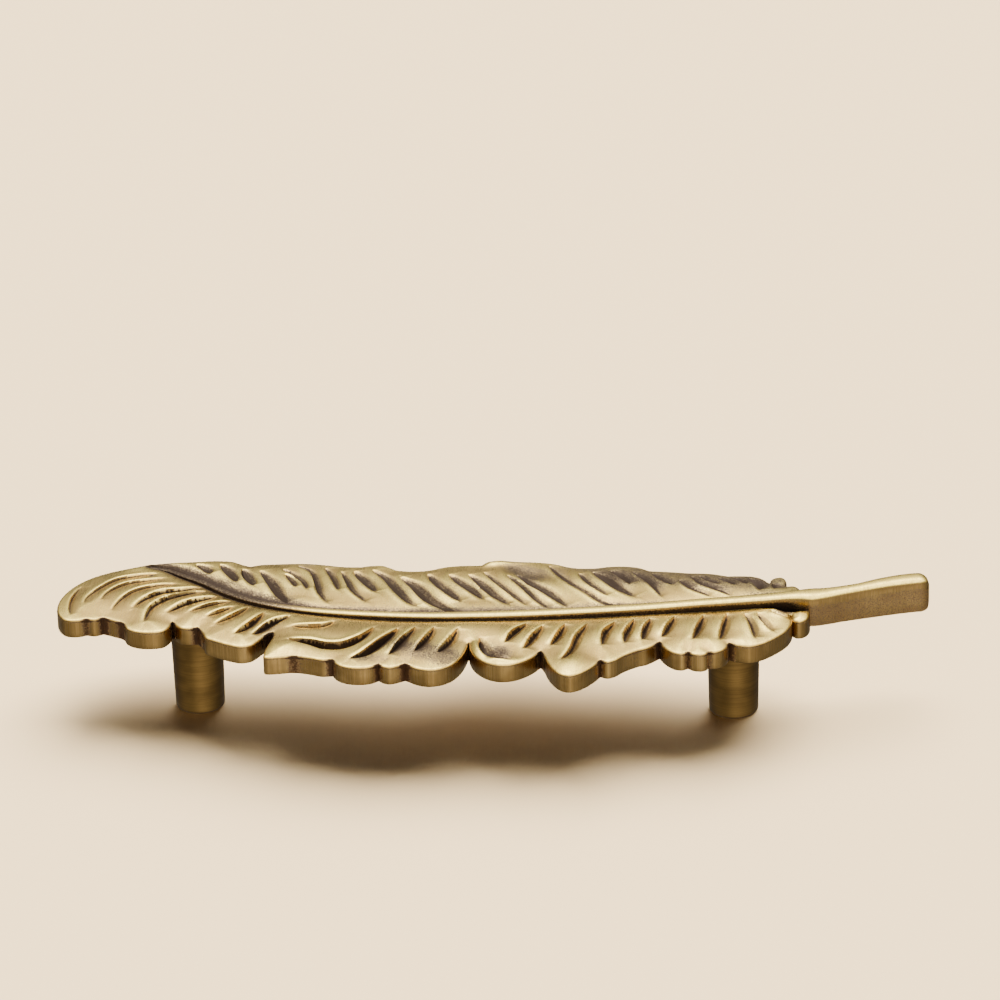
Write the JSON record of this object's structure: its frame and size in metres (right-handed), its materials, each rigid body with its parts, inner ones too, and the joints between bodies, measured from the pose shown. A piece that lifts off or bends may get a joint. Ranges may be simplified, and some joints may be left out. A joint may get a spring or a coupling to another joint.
{
  "type": "drawer pull",
  "caption": "Feather-shaped drawer pull: a carved plate with a raised quill that runs out as a bare stem, on two turned posts with tapped feet.",
  "frame": {"origin": "on the drawer's face (z = 0, where both feet stand), under the middle of the pull's outline", "axes": "+X from the feather's tip to the end of its stem, along the line of the two posts; +Y to the feather's shallow side; +Z away from the drawer's face"},
  "size_m": [0.1556, 0.047, 0.0224],
  "materials": {
    "cast_brass": "antiqued, brushed high spots, dark in the cuts",
    "turned_brass": "antiqued, fine turning marks"
  },
  "bodies": {
    "root": {"feather_plate": "cast_brass", "tip_post": "turned_brass", "root_post": "turned_brass"}
  },
  "joints": []
}
